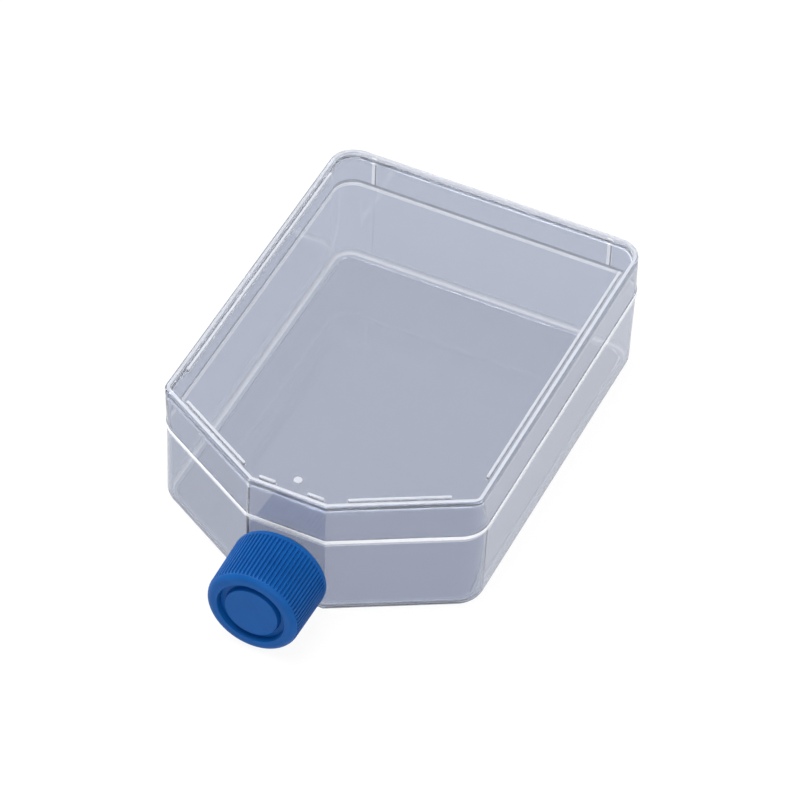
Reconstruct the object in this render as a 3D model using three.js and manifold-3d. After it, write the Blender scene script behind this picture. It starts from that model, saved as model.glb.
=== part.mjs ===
// Cell culture flask: a clear two-shell body with a threaded neck and a blue screw cap.
// Millimetres, +Z up. The flask lies on its base with the neck towards -Y. The origin
// is on the resting plane, below the middle of the closed flask.
import * as THREE from 'three';
import { mergeVertices } from 'three/addons/utils/BufferGeometryUtils.js';
import Module from 'manifold-3d';

const wasm = await Module();
wasm.setup();

// ---------------------------------------------------------------- driving dimensions

// Body outline, measured over the weld bead
const BODY_WIDTH = 82;
const SIDE_LENGTH = 96.4;        // shoulder corner to back wall
const SHOULDER_DEPTH = 17.8;     // shoulder corner to neck wall, along the flask
const NECK_WALL_WIDTH = 19.8;
const BACK_CORNER_RADIUS = 7;
const SIDE_CORNER_RADIUS = 8;    // base to weld seam
const RIM_CORNER_RADIUS = 3.2;   // what the side corner has narrowed to at the rim
const NECK_CORNER_RADIUS = 1.4;

// Shells
const LOWER_HEIGHT = 23.5;       // base to weld seam
const UPPER_HEIGHT = 11.3;       // weld seam to the top of the stacking rim
const WALL = 1.2;
const FLOOR = 1.3;
const ROOF = 1.3;
const LOWER_DRAFT = 0.2;         // how far the walls lean in, seam to base
const UPPER_DRAFT = 0.25;        // how far the walls lean in, seam to rim
const BASE_FILLET = 2.2;
const INNER_FILLET = 1.2;
const FOOT_WIDTH = 0.9;          // flat ring that the flask rests on
const FOOT_HEIGHT = 0.4;

// Weld bead, half on each shell
const BEAD_REACH = 0.25;
const BEAD_HEIGHT = 0.5;

// Top of the upper shell
const RIM_WIDTH = 1.3;
const RIM_HEIGHT = 0.9;
const RIM_EDGE = 0.6;
const STACK_BAR_WIDTH = 0.7;     // interrupted inner rail, as high as the rim
const STACK_BAR_GAP = 0.7;       // rim to bar
const NECK_BAR_SETBACK = 1.7;    // outline corner to the end of a bar, along the wall
const NECK_BAR_LENGTH = 4.2;
const SHOULDER_BAR_NECK_SETBACK = 5.2;
const SHOULDER_BAR_SIDE_SETBACK = 6.9;
const SIDE_BAR_FRONT_SETBACK = 8.2;
const SIDE_BAR_BACK_SETBACK = 11.5;
const GATE_RADIUS = 1;
const GATE_HEIGHT = 0.25;
const GATE_SETBACK = 6.2;        // neck wall to the moulding gate

// Upright ribs on the back wall
const BACK_RIB_SPACING = 62.6;
const BACK_RIB_WIDTH = 1.3;

// Neck
const NECK_AXIS_HEIGHT = 12.1;
const NECK_BORE_RADIUS = 7;
const NECK_TUBE_WALL = 1.4;
const NECK_ROOT_FILLET = 0.9;
const NECK_LIP_EDGE = 0.35;
const NECK_MOUTH_FLARE = 0.8;    // bevel where the bore opens into the flask

// Thread, right-handed
const THREAD_PITCH = 3.2;
const THREAD_HEIGHT = 0.95;
const THREAD_ROOT_WIDTH = 1.3;
const THREAD_CREST_WIDTH = 0.6;
const THREAD_TURNS = 1.75;
const THREAD_RUNOUT = Math.PI / 5;
const THREAD_CLEARANCE = 0.35;   // crest to the bore of the cap, radially
const THREAD_LIP_SETBACK = 2.2;  // neck lip to the middle of the last turn

// Screw cap
const CAP_GAP = 2.3;             // neck wall to the open end of the cap
const CAP_LENGTH = 15.4;
const CAP_WALL = 1.45;           // skirt, under the ribs
const CAP_TAPER = 0.25;          // radius lost from the open end to the closed end
const CAP_END_THICKNESS = 2.6;
const CAP_EDGE_RADIUS = 1.9;
const CAP_RIB_COUNT = 72;
const CAP_RIB_DEPTH = 0.42;
const CAP_BAND = 0.9;            // end of the ribs to the end face, on the rounded edge
const CAP_RIM = 0.9;             // plain band at the open end
const CAP_LEAD = 0.4;            // bevel at the mouth of the bore
const GROOVE_OUTER_RADIUS = 8.5;
const GROOVE_INNER_RADIUS = 6.7;
const GROOVE_DEPTH = 1.6;
const GROOVE_SLOPE = 0.25;       // how far each groove wall leans
const DISC_RECESS = 0.3;         // centre disc, below the end face
const PLUG_LENGTH = 3;
const PLUG_WALL = 1;
const PLUG_LEAD = 0.4;           // bevel at the tip of the plug
const PLUG_CLEARANCE = 0.3;      // plug to neck bore, radially
const SEAT_CLEARANCE = 0.3;      // neck lip to the inside of the cap's end

// Facets
const BACK_CORNER_STEPS = 8;
const SIDE_CORNER_STEPS = 8;
const NECK_CORNER_STEPS = 3;
const FILLET_STEPS = 4;
const NECK_SEGMENTS = 48;
const THREAD_STEPS_PER_TURN = 36;
const RIB_STEPS = 12;
const BAR_END_STEPS = 4;
const OVERLAP = 0.4;             // how far joined solids reach into each other
const MIN_CORNER_RADIUS = 0.3;

// ---------------------------------------------------------------- derived sizes

const BODY_HEIGHT = LOWER_HEIGHT + UPPER_HEIGHT;
const BASE_INSET = BEAD_REACH + LOWER_DRAFT;
const RIM_INSET = BEAD_REACH + UPPER_DRAFT;
const ROOF_TOP = BODY_HEIGHT - RIM_HEIGHT;
const CEILING = ROOF_TOP - ROOF;
const NECK_RADIUS = NECK_BORE_RADIUS + NECK_TUBE_WALL;
const NECK_THREAD_RADIUS = NECK_RADIUS + THREAD_HEIGHT;
const CAP_BORE_RADIUS = NECK_THREAD_RADIUS + THREAD_CLEARANCE;
const CAP_END_RADIUS = CAP_BORE_RADIUS + CAP_WALL + CAP_RIB_DEPTH;
const CAP_RADIUS = CAP_END_RADIUS + CAP_TAPER;
const CAP_DEPTH = CAP_LENGTH - CAP_END_THICKNESS;
const PLUG_RADIUS = NECK_BORE_RADIUS - PLUG_CLEARANCE;
const NECK_LENGTH = CAP_GAP + CAP_DEPTH - SEAT_CLEARANCE;
const NECK_WALL_Y = BEAD_REACH - SHOULDER_DEPTH;
const CAP_Y = NECK_WALL_Y - CAP_GAP;
const THREAD_START = NECK_LENGTH - THREAD_LIP_SETBACK - THREAD_TURNS * THREAD_PITCH;
const BAR_INSET = RIM_INSET + RIM_WIDTH + STACK_BAR_GAP + STACK_BAR_WIDTH / 2;
const ORIGIN_Y = (SIDE_LENGTH + CAP_Y - CAP_LENGTH) / 2;

// ---------------------------------------------------------------- outline of the body

// Corners of the outline, counter-clockwise. Each has a radius up to the weld seam, a
// radius at the rim and a number of facets.
const NECK_CORNER = {
  radius: NECK_CORNER_RADIUS, rimRadius: NECK_CORNER_RADIUS, steps: NECK_CORNER_STEPS,
};
const SIDE_CORNER = {
  radius: SIDE_CORNER_RADIUS, rimRadius: RIM_CORNER_RADIUS, steps: SIDE_CORNER_STEPS,
};
const BACK_CORNER = {
  radius: BACK_CORNER_RADIUS, rimRadius: BACK_CORNER_RADIUS, steps: BACK_CORNER_STEPS,
};
const OUTLINE = [
  { x: -NECK_WALL_WIDTH / 2, y: -SHOULDER_DEPTH, ...NECK_CORNER },
  { x: NECK_WALL_WIDTH / 2, y: -SHOULDER_DEPTH, ...NECK_CORNER },
  { x: BODY_WIDTH / 2, y: 0, ...SIDE_CORNER },
  { x: BODY_WIDTH / 2, y: SIDE_LENGTH, ...BACK_CORNER },
  { x: -BODY_WIDTH / 2, y: SIDE_LENGTH, ...BACK_CORNER },
  { x: -BODY_WIDTH / 2, y: 0, ...SIDE_CORNER },
];

function outlineCorner(i) {
  const { x, y } = OUTLINE[(i + OUTLINE.length) % OUTLINE.length];
  return new THREE.Vector2(x, y);
}

function cornerRadius(corner, z) {
  const rise = Math.max(0, z - LOWER_HEIGHT) / UPPER_HEIGHT;
  return THREE.MathUtils.lerp(corner.radius, corner.rimRadius, rise);
}

// The outline moved in by a distance and laid at a height, as a ring of points.
function outlineRing(inset, z) {
  const ring = [];
  OUTLINE.forEach((corner, i) => {
    const back = outlineCorner(i - 1).sub(outlineCorner(i)).normalize();
    const ahead = outlineCorner(i + 1).sub(outlineCorner(i)).normalize();
    const half = Math.acos(back.dot(ahead)) / 2;
    const inward = back.add(ahead).normalize();
    const radius = Math.max(cornerRadius(corner, z) - inset, MIN_CORNER_RADIUS);
    const centre = outlineCorner(i).addScaledVector(inward, (inset + radius) / Math.sin(half));
    const sweep = Math.PI - 2 * half;
    const start = Math.atan2(-inward.y, -inward.x) - sweep / 2;
    for (let step = 0; step <= corner.steps; step += 1) {
      const angle = start + (sweep * step) / corner.steps;
      const x = centre.x + radius * Math.cos(angle);
      ring.push([x, centre.y + radius * Math.sin(angle), z]);
    }
  });
  return ring;
}

// ---------------------------------------------------------------- surfaces and solids

// A closed surface through rings of points, each ring counter-clockwise about the way the
// surface runs. The first and the last ring are filled flat.
function loft(rings) {
  const size = rings[0].length;
  const points = rings.flat();
  const index = [];
  for (let k = 0; k + 1 < rings.length; k += 1) {
    for (let i = 0; i < size; i += 1) {
      const a = k * size + i;
      const b = k * size + ((i + 1) % size);
      index.push(a, b, a + size, b, b + size, a + size);
    }
  }
  const last = (rings.length - 1) * size;
  points.push(middleOf(rings[0]), middleOf(rings.at(-1)));
  for (let i = 0; i < size; i += 1) {
    const next = (i + 1) % size;
    index.push(points.length - 2, next, i, points.length - 1, last + i, last + next);
  }
  const geometry = new THREE.BufferGeometry();
  geometry.setAttribute('position', new THREE.Float32BufferAttribute(points.flat(), 3));
  geometry.setIndex(index);
  return geometry;
}

function middleOf(ring) {
  return [0, 1, 2].map((axis) => ring.reduce((sum, point) => sum + point[axis], 0) / ring.length);
}

// A profile of [radius, z] points turned about the Z axis. It starts and ends on the axis.
function turned(profile, segments, phase = 0) {
  const points = profile.map(([radius, z]) => new THREE.Vector2(radius, z));
  return new THREE.LatheGeometry(points, segments, phase).rotateX(Math.PI / 2);
}

// A quarter circle of [a, b] points about a centre, from one angle to another.
function arc(centreA, centreB, radius, from, to) {
  const points = [];
  for (let step = 0; step <= FILLET_STEPS; step += 1) {
    const angle = from + ((to - from) * step) / FILLET_STEPS;
    points.push([centreA + radius * Math.cos(angle), centreB + radius * Math.sin(angle)]);
  }
  return points;
}

// The trapezoid thread of the neck about the Z axis, right-handed, fading out at both ends.
// Its root is sunk into the tube.
function neckThread() {
  const sweep = THREAD_TURNS * 2 * Math.PI;
  const steps = Math.round(THREAD_TURNS * THREAD_STEPS_PER_TURN);
  const sunk = NECK_RADIUS - OVERLAP;
  const rings = [];
  for (let step = 0; step <= steps; step += 1) {
    const angle = (sweep * step) / steps;
    const rise = Math.min(1, Math.min(angle, sweep - angle) / THREAD_RUNOUT);
    const crest = THREE.MathUtils.lerp(NECK_RADIUS - OVERLAP / 2, NECK_THREAD_RADIUS, rise);
    const z = THREAD_START + (THREAD_PITCH * angle) / (2 * Math.PI);
    const section = [
      [sunk, z - THREAD_ROOT_WIDTH / 2],
      [sunk, z + THREAD_ROOT_WIDTH / 2],
      [crest, z + THREAD_CREST_WIDTH / 2],
      [crest, z - THREAD_CREST_WIDTH / 2],
    ];
    rings.push(section.map(([r, h]) => [r * Math.cos(angle), r * Math.sin(angle), h]));
  }
  return loft(rings);
}

function solid(geometry) {
  const bare = geometry.clone();
  bare.deleteAttribute('normal');
  bare.deleteAttribute('uv');
  const merged = mergeVertices(bare, 1e-4);
  const triangles = [];
  for (let i = 0; i < merged.index.count; i += 3) {
    const corners = [0, 1, 2].map((k) => merged.index.getX(i + k));
    if (new Set(corners).size === 3) triangles.push(...corners);
  }
  return new wasm.Manifold(new wasm.Mesh({
    numProp: 3,
    vertProperties: new Float32Array(merged.attributes.position.array),
    triVerts: new Uint32Array(triangles),
  }));
}

function geometryOf(body) {
  const mesh = body.getMesh();
  const geometry = new THREE.BufferGeometry();
  geometry.setAttribute('position', new THREE.BufferAttribute(mesh.vertProperties, 3));
  geometry.setIndex(new THREE.BufferAttribute(mesh.triVerts, 1));
  geometry.computeVertexNormals();
  return geometry;
}

// ---------------------------------------------------------------- lower shell

function lowerInset(z) {
  return THREE.MathUtils.lerp(BASE_INSET, BEAD_REACH, z / LOWER_HEIGHT);
}

// Tray: from the middle of the underside, round the outside, to the middle of the floor.
function lowerTray() {
  const quarter = Math.PI / 2;
  const footOuter = BASE_INSET + BASE_FILLET;
  const footInner = footOuter + FOOT_WIDTH;
  const beadFoot = LOWER_HEIGHT - BEAD_HEIGHT - BEAD_REACH;
  const innerInset = BASE_INSET + WALL;
  const sections = [
    [footInner + FOOT_HEIGHT, FOOT_HEIGHT],
    [footInner, 0],
    ...arc(footOuter, BASE_FILLET, BASE_FILLET, -quarter, -2 * quarter),
    [lowerInset(beadFoot), beadFoot],
    ...arc(BEAD_REACH, LOWER_HEIGHT - BEAD_HEIGHT, BEAD_REACH, -quarter, -2 * quarter).slice(1),
    [0, LOWER_HEIGHT],
    [BEAD_REACH + WALL, LOWER_HEIGHT],
    ...arc(innerInset + INNER_FILLET, FLOOR + INNER_FILLET, INNER_FILLET, 2 * quarter, 3 * quarter),
  ];
  return solid(loft(sections.map(([inset, z]) => outlineRing(inset, z))));
}

// Neck tube with its root fillet and lip, in a frame with Z along the neck.
function neckTube() {
  const root = NECK_RADIUS + NECK_ROOT_FILLET;
  const tube = turned([
    [0, -OVERLAP],
    [root, -OVERLAP],
    ...arc(root, NECK_ROOT_FILLET, NECK_ROOT_FILLET, -Math.PI / 2, -Math.PI),
    [NECK_RADIUS, NECK_LENGTH - NECK_LIP_EDGE],
    [NECK_RADIUS - NECK_LIP_EDGE, NECK_LENGTH],
    [0, NECK_LENGTH],
  ], NECK_SEGMENTS);
  return solid(tube).add(solid(neckThread()));
}

// What the bore takes away, opening out where it enters the flask.
function neckBore() {
  const inside = -WALL - LOWER_DRAFT;
  const flare = NECK_BORE_RADIUS + NECK_MOUTH_FLARE;
  return solid(turned([
    [0, inside - OVERLAP],
    [flare, inside - OVERLAP],
    [flare, inside],
    [NECK_BORE_RADIUS, inside + NECK_MOUTH_FLARE],
    [NECK_BORE_RADIUS, NECK_LENGTH + OVERLAP],
    [0, NECK_LENGTH + OVERLAP],
  ], NECK_SEGMENTS));
}

// Two upright ribs on the back wall between two heights, following its lean.
function backRibs(low, high, insetAt) {
  const rib = (x) => [low, high].map((z) => {
    const ring = [];
    for (let step = 0; step < RIB_STEPS; step += 1) {
      const angle = (2 * Math.PI * step) / RIB_STEPS;
      const y = SIDE_LENGTH - insetAt(z) + BEAD_REACH * Math.sin(angle);
      ring.push([x + (BACK_RIB_WIDTH / 2) * Math.cos(angle), y, z]);
    }
    return ring;
  });
  const left = solid(loft(rib(-BACK_RIB_SPACING / 2)));
  return left.add(solid(loft(rib(BACK_RIB_SPACING / 2))));
}

function lowerShell() {
  const alongNeck = new THREE.Matrix4().makeRotationX(Math.PI / 2);
  alongNeck.setPosition(0, NECK_WALL_Y, NECK_AXIS_HEIGHT);
  const place = (body) => body.transform(alongNeck.toArray());
  const ribs = backRibs(BASE_FILLET, LOWER_HEIGHT, lowerInset);
  return lowerTray().add(ribs).add(place(neckTube())).subtract(place(neckBore()));
}

// ---------------------------------------------------------------- upper shell

function upperInset(z) {
  return THREE.MathUtils.lerp(BEAD_REACH, RIM_INSET, (z - LOWER_HEIGHT) / UPPER_HEIGHT);
}

// Lid: from the middle of the ceiling, down the inside, round the outside and over the
// stacking rim, to the middle of the roof.
function upperLid() {
  const quarter = Math.PI / 2;
  const innerInset = upperInset(CEILING) + WALL;
  const beadTop = LOWER_HEIGHT + BEAD_HEIGHT + BEAD_REACH;
  const rimInner = RIM_INSET + RIM_WIDTH;
  const sections = [
    ...arc(innerInset + INNER_FILLET, CEILING - INNER_FILLET, INNER_FILLET, quarter, 2 * quarter),
    [BEAD_REACH + WALL, LOWER_HEIGHT],
    [0, LOWER_HEIGHT],
    ...arc(BEAD_REACH, LOWER_HEIGHT + BEAD_HEIGHT, BEAD_REACH, 2 * quarter, quarter).slice(0, -1),
    [upperInset(beadTop), beadTop],
    ...arc(RIM_INSET + RIM_EDGE, BODY_HEIGHT - RIM_EDGE, RIM_EDGE, 2 * quarter, quarter),
    [rimInner, BODY_HEIGHT],
    [rimInner + OVERLAP / 4, ROOF_TOP],
  ];
  return solid(loft(sections.map(([inset, z]) => outlineRing(inset, z))));
}

// A bar on the roof along one wall of the outline, between two setbacks from its corners.
function stackBar(wall, fromSetback, toSetback) {
  const start = outlineCorner(wall);
  const along = outlineCorner(wall + 1).sub(start);
  const length = along.length();
  along.normalize();
  const inward = new THREE.Vector2(-along.y, along.x);
  const radius = STACK_BAR_WIDTH / 2;
  const ends = [[length - toSetback - radius, -Math.PI / 2], [fromSetback + radius, Math.PI / 2]];
  const points = [];
  ends.forEach(([distance, turn]) => {
    const centre = start.clone().addScaledVector(along, distance).addScaledVector(inward, BAR_INSET);
    for (let step = 0; step <= BAR_END_STEPS; step += 1) {
      const angle = along.angle() + turn + (Math.PI * step) / BAR_END_STEPS;
      const edge = new THREE.Vector2(radius * Math.cos(angle), radius * Math.sin(angle));
      points.push(edge.add(centre));
    }
  });
  const options = { depth: RIM_HEIGHT + OVERLAP, bevelEnabled: false };
  const bar = new THREE.ExtrudeGeometry(new THREE.Shape(points), options);
  return solid(bar.translate(0, 0, ROOF_TOP - OVERLAP));
}

// The inner rail, broken at each corner and at the middle of the neck wall.
function stackBars() {
  const neckRest = NECK_WALL_WIDTH - NECK_BAR_SETBACK - NECK_BAR_LENGTH;
  const bars = [
    stackBar(0, NECK_BAR_SETBACK, neckRest),
    stackBar(0, neckRest, NECK_BAR_SETBACK),
    stackBar(1, SHOULDER_BAR_NECK_SETBACK, SHOULDER_BAR_SIDE_SETBACK),
    stackBar(2, SIDE_BAR_FRONT_SETBACK, SIDE_BAR_BACK_SETBACK),
    stackBar(4, SIDE_BAR_BACK_SETBACK, SIDE_BAR_FRONT_SETBACK),
    stackBar(5, SHOULDER_BAR_SIDE_SETBACK, SHOULDER_BAR_NECK_SETBACK),
  ];
  return bars.reduce((all, bar) => all.add(bar));
}

// Stub left by the moulding gate, on the roof behind the neck wall.
function gateStub() {
  const stub = new THREE.CylinderGeometry(GATE_RADIUS, GATE_RADIUS, GATE_HEIGHT + OVERLAP, 16);
  stub.rotateX(Math.PI / 2);
  stub.translate(0, GATE_SETBACK - SHOULDER_DEPTH, ROOF_TOP + (GATE_HEIGHT - OVERLAP) / 2);
  return solid(stub);
}

function upperShell() {
  const ribs = backRibs(LOWER_HEIGHT, BODY_HEIGHT - RIM_EDGE, upperInset);
  return upperLid().add(ribs).add(stackBars()).add(gateStub());
}

// ---------------------------------------------------------------- screw cap

// Cap body in a frame with Z from the open end to the closed end.
function capBody() {
  const edge = arc(CAP_END_RADIUS - CAP_EDGE_RADIUS, CAP_LENGTH - CAP_EDGE_RADIUS,
    CAP_EDGE_RADIUS, 0, Math.PI / 2);
  const grooveFloor = CAP_LENGTH - GROOVE_DEPTH;
  const disc = CAP_LENGTH - DISC_RECESS;
  const plugTip = CAP_DEPTH - PLUG_LENGTH;
  return solid(turned([
    [0, CAP_DEPTH],
    [PLUG_RADIUS - PLUG_WALL, CAP_DEPTH],
    [PLUG_RADIUS - PLUG_WALL, plugTip],
    [PLUG_RADIUS - PLUG_LEAD, plugTip],
    [PLUG_RADIUS, plugTip + PLUG_LEAD],
    [PLUG_RADIUS, CAP_DEPTH],
    [CAP_BORE_RADIUS, CAP_DEPTH],
    [CAP_BORE_RADIUS, CAP_LEAD],
    [CAP_BORE_RADIUS + CAP_LEAD, 0],
    [CAP_RADIUS, 0],
    ...edge,
    [GROOVE_OUTER_RADIUS, CAP_LENGTH],
    [GROOVE_OUTER_RADIUS - GROOVE_SLOPE, grooveFloor],
    [GROOVE_INNER_RADIUS + GROOVE_SLOPE, grooveFloor],
    [GROOVE_INNER_RADIUS, disc],
    [0, disc],
  ], CAP_RIB_COUNT, Math.PI / CAP_RIB_COUNT));
}

// A ring through the crests and valleys of the grip ribs at one height of the cap.
function ribRing(z) {
  const pitch = (2 * Math.PI) / CAP_RIB_COUNT;
  const crest = CAP_RADIUS - (CAP_TAPER * z) / (CAP_LENGTH - CAP_EDGE_RADIUS);
  const ring = [];
  for (let rib = 0; rib < CAP_RIB_COUNT; rib += 1) {
    const shape = [[-0.2, OVERLAP], [0.2, OVERLAP], [0.34, -CAP_RIB_DEPTH], [0.66, -CAP_RIB_DEPTH]];
    shape.forEach(([turn, rise]) => {
      const angle = (rib + turn) * pitch;
      ring.push([(crest + rise) * Math.cos(angle), (crest + rise) * Math.sin(angle), z]);
    });
  }
  return ring;
}

function screwCap() {
  const ribTop = CAP_LENGTH - CAP_BAND;
  const beyond = CAP_RADIUS + OVERLAP;
  const around = solid(turned([
    [0, CAP_RIM], [beyond, CAP_RIM], [beyond, ribTop], [0, ribTop],
  ], CAP_RIB_COUNT));
  const ribbed = solid(loft([ribRing(CAP_RIM - OVERLAP), ribRing(ribTop + OVERLAP)]));
  return capBody().subtract(around.subtract(ribbed));
}

// ---------------------------------------------------------------- assembly

const clearPlastic = new THREE.MeshStandardMaterial({
  color: 0xb9c1d0, roughness: 0.08, metalness: 0, transparent: true, opacity: 0.4,
});
const bluePlastic = new THREE.MeshStandardMaterial({
  color: 0x0b4da2, roughness: 0.45, metalness: 0,
});

function part(name, body, material) {
  const mesh = new THREE.Mesh(geometryOf(body), material);
  mesh.name = name;
  return mesh;
}

const flask = new THREE.Group();
flask.position.y = -ORIGIN_Y;

flask.add(part('lower_shell', lowerShell(), clearPlastic.clone()));
flask.add(part('upper_shell', upperShell(), clearPlastic.clone()));

const cap = part('screw_cap', screwCap(), bluePlastic);
cap.rotation.x = Math.PI / 2;
cap.position.set(0, CAP_Y, NECK_AXIS_HEIGHT);
flask.add(cap);

export default flask;
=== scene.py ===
"""Looks of the cell culture flask: one welded clear body and a ribbed blue screw cap."""

import math
from itertools import count, pairwise
from typing import NamedTuple

import bpy
from mathutils import Matrix, Vector
from mathutils.geometry import tessellate_polygon


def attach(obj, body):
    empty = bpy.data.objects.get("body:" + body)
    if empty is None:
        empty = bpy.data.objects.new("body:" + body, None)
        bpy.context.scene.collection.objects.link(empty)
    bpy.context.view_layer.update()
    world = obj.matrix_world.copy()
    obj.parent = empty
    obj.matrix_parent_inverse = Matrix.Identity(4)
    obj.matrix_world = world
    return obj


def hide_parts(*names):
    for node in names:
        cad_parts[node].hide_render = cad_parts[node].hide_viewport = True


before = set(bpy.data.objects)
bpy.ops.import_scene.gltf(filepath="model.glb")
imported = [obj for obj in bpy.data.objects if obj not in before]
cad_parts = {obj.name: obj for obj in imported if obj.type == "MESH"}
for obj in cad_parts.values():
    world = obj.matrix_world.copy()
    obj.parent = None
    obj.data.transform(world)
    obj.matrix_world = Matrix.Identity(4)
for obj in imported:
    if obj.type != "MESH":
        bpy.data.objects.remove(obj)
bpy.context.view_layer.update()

TURN = 2 * math.pi
TOLERANCE = 1e-6

# ------------------------------------------------------------------ sizes, millimetres

METRE = 1000
MERGE_DIGITS = 4  # points that agree to this many decimals are one

# body, seen from above
BODY_WIDTH = 82.0
SIDE_LENGTH = 96.4
SHOULDER_DEPTH = 17.8
NECK_WALL_WIDTH = 19.8
BACK_CORNER_RADIUS = 7.0
SIDE_CORNER_RADIUS = 8.0
RIM_CORNER_RADIUS = 3.2
NECK_CORNER_RADIUS = 1.4
MIN_CORNER_RADIUS = 0.3
NECK_CORNER_STEPS = 8
SIDE_CORNER_STEPS = 16
BACK_CORNER_STEPS = 24

# body, from the underside to the seam
LOWER_HEIGHT = 23.5
WALL = 1.2
FLOOR = 1.3
BASE_FILLET = 2.2
INNER_FILLET = 1.2
FOOT_WIDTH = 0.9
FOOT_HEIGHT = 0.4
BEAD_REACH = 0.25
BEAD_HEIGHT = 0.5
BEAD_FOOT = LOWER_HEIGHT - BEAD_HEIGHT - BEAD_REACH
BEAD_TOP = LOWER_HEIGHT + BEAD_HEIGHT + BEAD_REACH
LOWER_DRAFT = 0.2
BASE_INSET = BEAD_REACH + LOWER_DRAFT
FOOT_INSET = BASE_INSET + BASE_FILLET

# body, from the seam to the rim
UPPER_HEIGHT = 11.3
BODY_HEIGHT = LOWER_HEIGHT + UPPER_HEIGHT
UPPER_DRAFT = 0.25
RIM_INSET = BEAD_REACH + UPPER_DRAFT
RIM_WIDTH = 1.3
RIM_IN = RIM_INSET + RIM_WIDTH
RIM_HEIGHT = 0.9
RIM_EDGE = 0.6
RIM_ROUND = 0.2
ROOF = 1.3
ROOF_TOP = BODY_HEIGHT - RIM_HEIGHT
CEILING = ROOF_TOP - ROOF

# bars of the inner rail, gate stub and the two ribs on the back wall
BAR_WIDTH = 0.7
BAR_GAP = 0.7
BAR_ROUND = 0.18
BAR_INSET = RIM_IN + BAR_GAP + BAR_WIDTH / 2
BAR_END_STEPS = 8
GATE_RADIUS = 1.0
GATE_HEIGHT = 0.25
GATE_ROUND = 0.1
GATE_SETBACK = 6.2
GATE_STEPS = 32
RIB_SPACING = 62.6
RIB_HALF_WIDTH = 0.65
RIB_STEPS = 10
RIB_FOOT = 0.25  # height at which the ribs start
RIB_FADE = 1.9  # the ribs go from full to flat between these depths below the rim's top
RIB_END = 1.3
LOWER_RIB_SHARE = 0.5  # they are faint below the seam

# neck
NECK_AXIS_HEIGHT = 12.1
BORE_RADIUS = 7.0
NECK_TUBE_WALL = 1.4
NECK_RADIUS = BORE_RADIUS + NECK_TUBE_WALL
ROOT_FILLET = 0.9
NECK_ROOT = NECK_RADIUS + ROOT_FILLET
LIP_EDGE = 0.35
LIP_ROUND = 0.25
MOUTH_FLARE = 0.8
MOUTH_RADIUS = BORE_RADIUS + MOUTH_FLARE
MOUTH_DEPTH = WALL + 0.2  # the wall leans, so it is thicker along the neck
MOUTH_NORMAL = (-0.707, -0.707)
NECK_WALL_Y = BEAD_REACH - SHOULDER_DEPTH
NECK_STEPS = 144

# threads
PITCH = 3.2
THREAD_HEIGHT = 0.95
CREST_HALF = 0.3
ROOT_HALF = 0.55
RUNOUT = math.pi / 5
THREAD_MARGIN = 1  # of plain surface before and after a thread
NECK_TURNS = 1.75
NECK_ROW = 0.1
CAP_TURNS = 1.5
CAP_ROW = 0.12
RELIEF_STEP = 0.01  # over which the slope of a relief is measured
RADIAL_SHARE = 0.3  # least radial share of a normal that a relief turns

# cap
CAP_GAP = 2.3
CAP_Y = NECK_WALL_Y - CAP_GAP
CAP_LENGTH = 15.4
CAP_WALL = 1.45
CAP_TAPER = 0.25
CAP_END = 2.6
CAP_EDGE = 1.9
CAP_ROUND = 0.2
CAP_RIBS = 72
CAP_RIB_DEPTH = 0.42
CAP_RIB_FADE = 0.35
CAP_RIB_FADE_STEPS = 6
CAP_RIB_HALF = 0.17  # half of a rib's flat crest, as a share of the space from rib to rib
CAP_RIB_FLANK = 0.2  # width of a rib's flank, as the same share
CAP_BAND = 0.9
CAP_RIM = 0.9
CAP_LEAD = 0.4
CAP_DEPTH = CAP_LENGTH - CAP_END
GROOVE_OUTER = 8.5
GROOVE_INNER = 6.7
GROOVE_DEPTH = 1.6
GROOVE_SLOPE = 0.25
DISC_RECESS = 0.3
PLUG_CLEARANCE = 0.3
PLUG_RADIUS = BORE_RADIUS - PLUG_CLEARANCE
PLUG_WALL = 1.0
PLUG_LENGTH = 3.0
PLUG_ROUND = 0.4
SEAT_CLEARANCE = 0.3
NECK_LENGTH = CAP_GAP + CAP_DEPTH - SEAT_CLEARANCE
THREAD_CLEARANCE = 0.35
CAP_BORE = NECK_RADIUS + THREAD_HEIGHT + THREAD_CLEARANCE
CAP_END_RADIUS = CAP_BORE + CAP_WALL + CAP_RIB_DEPTH
CAP_RADIUS = CAP_END_RADIUS + CAP_TAPER
THREAD_LIP_SETBACK = 2.2
NECK_THREAD_START = NECK_LENGTH - THREAD_LIP_SETBACK - NECK_TURNS * PITCH
CAP_THREAD_START = NECK_THREAD_START - PITCH / 2 - CAP_GAP

ORIGIN_Y = (SIDE_LENGTH + CAP_Y - CAP_LENGTH) / 2

# limits of the body's finishes, most of which paint highlight lines
SEAM_HIGHLIGHT_BELOW = 0.2  # how far the white seam finish, a painted highlight, reaches below and above the seam
SEAM_HIGHLIGHT_ABOVE = BEAD_HEIGHT + BEAD_REACH * 0.8
BEAD_HIGHLIGHT_BELOW = BEAD_HEIGHT + BEAD_REACH + 0.3  # how far the bead's untinted part, a painted highlight seen from inside, reaches below
HIGHLIGHT_BAND_BOTTOM = 1.2  # ends of the side walls' untinted band, a painted highlight, below the foot of the bead
HIGHLIGHT_BAND_TOP = 0.4
MATT_HIGHLIGHT_DEPTH = 0.06  # how deep the rim's matt top reaches; its pale colour paints the rim's highlight line
RIM_SLACK = 0.01
BASE_HIGHLIGHT_HEIGHTS = (0.02, 0.45)  # heights between which the base's edge is left untinted as a painted highlight
HIGHLIGHT_FILLET = (0.03, 0.55)  # ends of its frosted part, which paints a highlight line, as shares of its height

# ------------------------------------------------------------------ surface collector

# material slots of the body; the grey-blue tints of the wall, roof and floor panes are painted
# shade, and the clear finish without that tint serves the inner faces and painted highlights
WALLS, ROOF_PANE, FLOOR_PANE, INSIDE_AND_HIGHLIGHTS, SEAM_HIGHLIGHT, MATT_HIGHLIGHT, FROSTED_HIGHLIGHT, BEAD_HIGHLIGHT = range(8)


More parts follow.
